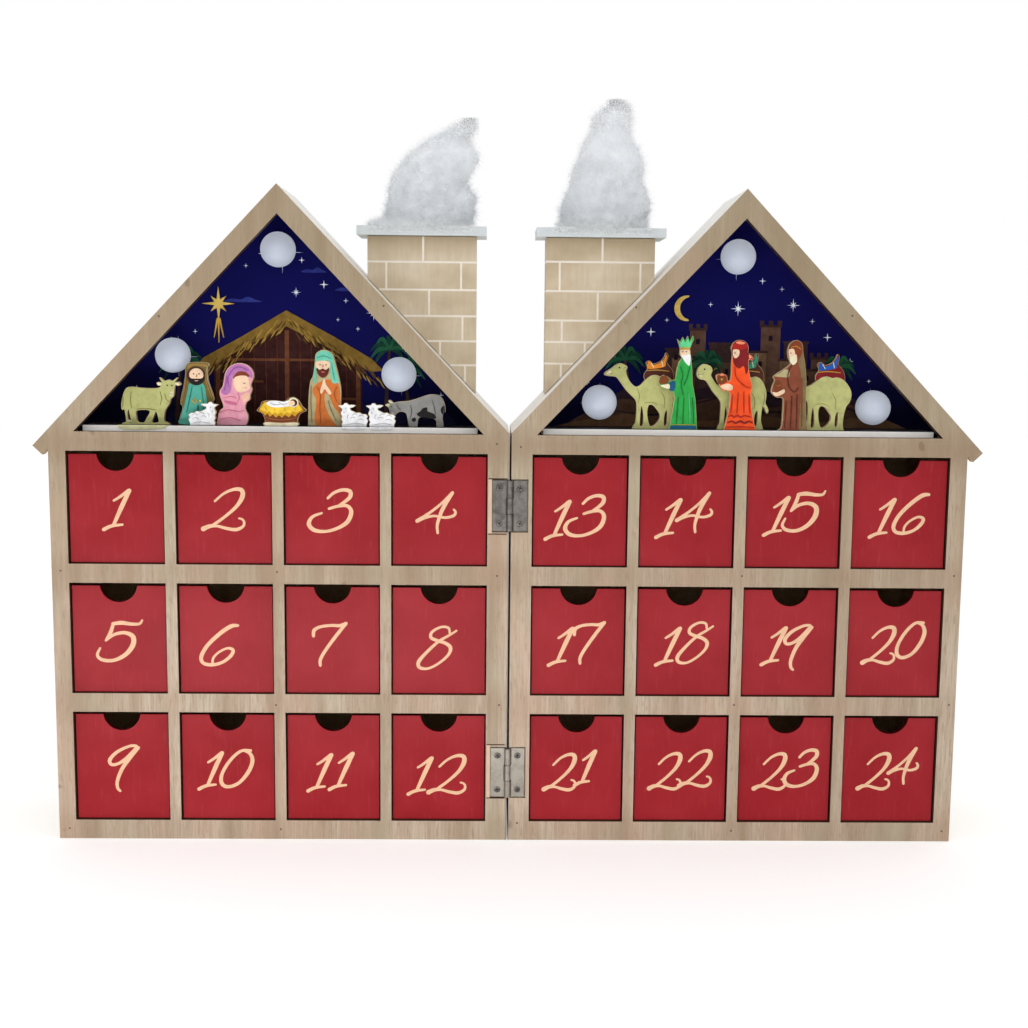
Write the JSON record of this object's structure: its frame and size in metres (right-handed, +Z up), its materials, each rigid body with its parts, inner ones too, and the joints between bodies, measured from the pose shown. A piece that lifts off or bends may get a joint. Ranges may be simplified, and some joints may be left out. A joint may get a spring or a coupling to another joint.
{
  "type": "nativity advent calendar",
  "caption": "Wooden advent calendar of two hinged gable houses that fold together, with numbered sliding drawers and a lit nativity scene in each gable.",
  "frame": {"origin": "middle of the footprint on the ground, under the fold line, halfway between the hinge barrels and the back", "axes": "+Z up, fronts facing -Y, +X towards the right house as seen from in front, the fold line at x = 0"},
  "size_m": [0.4668, 0.0701, 0.3727],
  "materials": {
    "birch_plywood": "printed plywood, satin",
    "back_board": "thin hardboard, matt",
    "white_paint": "white painted wood, satin",
    "red_paint": "red painted wood with printed numbers",
    "night_blue": "dark blue painted wood, satin",
    "chimney_wood": "printed brick pattern, matt",
    "zinc": "zinc plated",
    "figure_wood": "painted wood, satin",
    "frosted_plastic": "frosted white",
    "black_plastic": "black",
    "white_fibre": "loose white polyester fibre"
  },
  "bodies": {
    "left_half": {"left_face_frame": "birch_plywood", "left_inner_wall": "birch_plywood", "left_outer_wall": "birch_plywood", "left_base_board": "birch_plywood", "left_drawer_rack": "birch_plywood", "left_attic_floor": "birch_plywood", "left_back_panel": "back_board", "left_outer_roof_board": "white_paint", "left_inner_roof_board": "white_paint", "left_backdrop_panel": "night_blue", "left_chimney_stack": "chimney_wood", "left_chimney_cap": "white_paint", "left_chimney_smoke": "white_fibre", "left_nativity_scene": "figure_wood", "left_light_set": "frosted_plastic", "left_upper_hinge_leaf": "zinc", "left_lower_hinge_leaf": "zinc"},
    "right_half": {"right_face_frame": "birch_plywood", "right_inner_wall": "birch_plywood", "right_outer_wall": "birch_plywood", "right_base_board": "birch_plywood", "right_drawer_rack": "birch_plywood", "right_attic_floor": "birch_plywood", "right_back_panel": "back_board", "right_outer_roof_board": "white_paint", "right_inner_roof_board": "white_paint", "right_backdrop_panel": "night_blue", "right_chimney_stack": "chimney_wood", "right_chimney_cap": "white_paint", "right_chimney_smoke": "white_fibre", "right_nativity_scene": "figure_wood", "right_light_set": "frosted_plastic", "right_upper_hinge_leaf": "zinc", "right_lower_hinge_leaf": "zinc"},
    "drawer_01": {"drawer_01": "red_paint"},
    "drawer_02": {"drawer_02": "red_paint"},
    "drawer_03": {"drawer_03": "red_paint"},
    "drawer_04": {"drawer_04": "red_paint"},
    "drawer_05": {"drawer_05": "red_paint"},
    "drawer_06": {"drawer_06": "red_paint"},
    "drawer_07": {"drawer_07": "red_paint"},
    "drawer_08": {"drawer_08": "red_paint"},
    "drawer_09": {"drawer_09": "red_paint"},
    "drawer_10": {"drawer_10": "red_paint"},
    "drawer_11": {"drawer_11": "red_paint"},
    "drawer_12": {"drawer_12": "red_paint"},
    "drawer_13": {"drawer_13": "red_paint"},
    "drawer_14": {"drawer_14": "red_paint"},
    "drawer_15": {"drawer_15": "red_paint"},
    "drawer_16": {"drawer_16": "red_paint"},
    "drawer_17": {"drawer_17": "red_paint"},
    "drawer_18": {"drawer_18": "red_paint"},
    "drawer_19": {"drawer_19": "red_paint"},
    "drawer_20": {"drawer_20": "red_paint"},
    "drawer_21": {"drawer_21": "red_paint"},
    "drawer_22": {"drawer_22": "red_paint"},
    "drawer_23": {"drawer_23": "red_paint"},
    "drawer_24": {"drawer_24": "red_paint"},
    "left_switch": {"left_light_switch": "black_plastic"},
    "right_switch": {"right_light_switch": "black_plastic"}
  },
  "joints": [
    {"name": "fold", "type": "hinge", "parent": "left_half", "child": "right_half", "pos_m": [0, -0.03345, 0.16279], "axis": [0, 0, 1], "range_deg": [-180, 0]},
    {"name": "drawer_01_slide", "type": "slide", "parent": "left_half", "child": "drawer_01", "axis": [0, -1, 0], "range_m": [0, 0.058]},
    {"name": "drawer_02_slide", "type": "slide", "parent": "left_half", "child": "drawer_02", "axis": [0, -1, 0], "range_m": [0, 0.058]},
    {"name": "drawer_03_slide", "type": "slide", "parent": "left_half", "child": "drawer_03", "axis": [0, -1, 0], "range_m": [0, 0.058]},
    {"name": "drawer_04_slide", "type": "slide", "parent": "left_half", "child": "drawer_04", "axis": [0, -1, 0], "range_m": [0, 0.058]},
    {"name": "drawer_05_slide", "type": "slide", "parent": "left_half", "child": "drawer_05", "axis": [0, -1, 0], "range_m": [0, 0.058]},
    {"name": "drawer_06_slide", "type": "slide", "parent": "left_half", "child": "drawer_06", "axis": [0, -1, 0], "range_m": [0, 0.058]},
    {"name": "drawer_07_slide", "type": "slide", "parent": "left_half", "child": "drawer_07", "axis": [0, -1, 0], "range_m": [0, 0.058]},
    {"name": "drawer_08_slide", "type": "slide", "parent": "left_half", "child": "drawer_08", "axis": [0, -1, 0], "range_m": [0, 0.058]},
    {"name": "drawer_09_slide", "type": "slide", "parent": "left_half", "child": "drawer_09", "axis": [0, -1, 0], "range_m": [0, 0.058]},
    {"name": "drawer_10_slide", "type": "slide", "parent": "left_half", "child": "drawer_10", "axis": [0, -1, 0], "range_m": [0, 0.058]},
    {"name": "drawer_11_slide", "type": "slide", "parent": "left_half", "child": "drawer_11", "axis": [0, -1, 0], "range_m": [0, 0.058]},
    {"name": "drawer_12_slide", "type": "slide", "parent": "left_half", "child": "drawer_12", "axis": [0, -1, 0], "range_m": [0, 0.058]},
    {"name": "drawer_13_slide", "type": "slide", "parent": "right_half", "child": "drawer_13", "axis": [0, -1, 0], "range_m": [0, 0.058]},
    {"name": "drawer_14_slide", "type": "slide", "parent": "right_half", "child": "drawer_14", "axis": [0, -1, 0], "range_m": [0, 0.058]},
    {"name": "drawer_15_slide", "type": "slide", "parent": "right_half", "child": "drawer_15", "axis": [0, -1, 0], "range_m": [0, 0.058]},
    {"name": "drawer_16_slide", "type": "slide", "parent": "right_half", "child": "drawer_16", "axis": [0, -1, 0], "range_m": [0, 0.058]},
    {"name": "drawer_17_slide", "type": "slide", "parent": "right_half", "child": "drawer_17", "axis": [0, -1, 0], "range_m": [0, 0.058]},
    {"name": "drawer_18_slide", "type": "slide", "parent": "right_half", "child": "drawer_18", "axis": [0, -1, 0], "range_m": [0, 0.058]},
    {"name": "drawer_19_slide", "type": "slide", "parent": "right_half", "child": "drawer_19", "axis": [0, -1, 0], "range_m": [0, 0.058]},
    {"name": "drawer_20_slide", "type": "slide", "parent": "right_half", "child": "drawer_20", "axis": [0, -1, 0], "range_m": [0, 0.058]},
    {"name": "drawer_21_slide", "type": "slide", "parent": "right_half", "child": "drawer_21", "axis": [0, -1, 0], "range_m": [0, 0.058]},
    {"name": "drawer_22_slide", "type": "slide", "parent": "right_half", "child": "drawer_22", "axis": [0, -1, 0], "range_m": [0, 0.058]},
    {"name": "drawer_23_slide", "type": "slide", "parent": "right_half", "child": "drawer_23", "axis": [0, -1, 0], "range_m": [0, 0.058]},
    {"name": "drawer_24_slide", "type": "slide", "parent": "right_half", "child": "drawer_24", "axis": [0, -1, 0], "range_m": [0, 0.058]},
    {"name": "left_switch_slide", "type": "slide", "parent": "left_half", "child": "left_switch", "axis": [1, 0, 0], "range_m": [0, 0.004]},
    {"name": "right_switch_slide", "type": "slide", "parent": "right_half", "child": "right_switch", "axis": [1, 0, 0], "range_m": [0, 0.004]}
  ]
}
